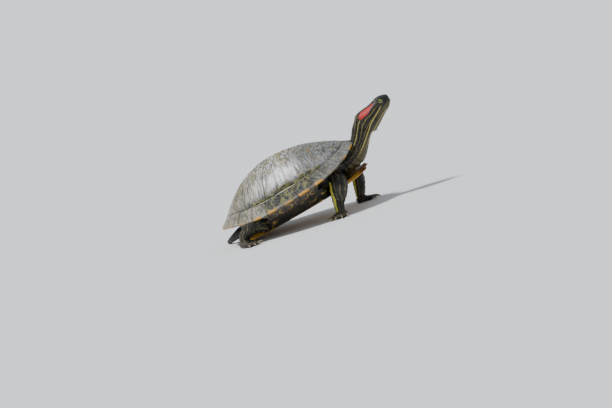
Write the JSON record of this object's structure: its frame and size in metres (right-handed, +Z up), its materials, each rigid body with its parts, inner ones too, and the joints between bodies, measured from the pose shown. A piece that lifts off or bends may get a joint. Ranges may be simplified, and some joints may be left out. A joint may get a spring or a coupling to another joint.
{
  "type": "red-eared slider turtle",
  "caption": "Life-size still model of a basking red-eared slider: body tilted nose up on straight forelegs, neck stretched up, shell of separate scutes.",
  "frame": {"origin": "middle of the whole animal's footprint box, at floor level under the soles", "axes": "+X towards the head, +Y to the turtle's left, +Z up"},
  "size_m": [0.2575, 0.1946, 0.1285],
  "materials": {
    "carapace_horn": "dry horn, satin, with a pale film",
    "rim_horn": "dry horn, satin",
    "plastron_horn": "smooth horn",
    "skin": "fine scaled skin, slightly damp",
    "eye": "wet and glossy",
    "claw_horn": "polished horn"
  },
  "bodies": {
    "root": {"nuchal_scute": "carapace_horn", "vertebral_scute_1": "carapace_horn", "vertebral_scute_2": "carapace_horn", "vertebral_scute_3": "carapace_horn", "vertebral_scute_4": "carapace_horn", "vertebral_scute_5": "carapace_horn", "costal_scute_right_1": "carapace_horn", "costal_scute_right_2": "carapace_horn", "costal_scute_right_3": "carapace_horn", "costal_scute_right_4": "carapace_horn", "costal_scute_left_1": "carapace_horn", "costal_scute_left_2": "carapace_horn", "costal_scute_left_3": "carapace_horn", "costal_scute_left_4": "carapace_horn", "marginal_rim_right": "rim_horn", "marginal_rim_left": "rim_horn", "plastron": "plastron_horn", "bridge_right": "plastron_horn", "bridge_left": "plastron_horn", "trunk": "skin", "neck": "skin", "head": "skin", "lower_jaw": "skin", "tail": "skin", "upper_arm_right": "skin", "forearm_right": "skin", "forefoot_right": "skin", "thigh_right": "skin", "shank_right": "skin", "hindfoot_right": "skin", "upper_arm_left": "skin", "forearm_left": "skin", "forefoot_left": "skin", "thigh_left": "skin", "shank_left": "skin", "hindfoot_left": "skin", "eye_right": "eye", "eye_left": "eye", "claw_forefoot_right_1": "claw_horn", "claw_forefoot_right_2": "claw_horn", "claw_forefoot_right_3": "claw_horn", "claw_forefoot_right_4": "claw_horn", "claw_forefoot_right_5": "claw_horn", "claw_forefoot_left_1": "claw_horn", "claw_forefoot_left_2": "claw_horn", "claw_forefoot_left_3": "claw_horn", "claw_forefoot_left_4": "claw_horn", "claw_forefoot_left_5": "claw_horn", "claw_hindfoot_right_1": "claw_horn", "claw_hindfoot_right_2": "claw_horn", "claw_hindfoot_right_3": "claw_horn", "claw_hindfoot_right_4": "claw_horn", "claw_hindfoot_left_1": "claw_horn", "claw_hindfoot_left_2": "claw_horn", "claw_hindfoot_left_3": "claw_horn", "claw_hindfoot_left_4": "claw_horn"}
  },
  "joints": []
}
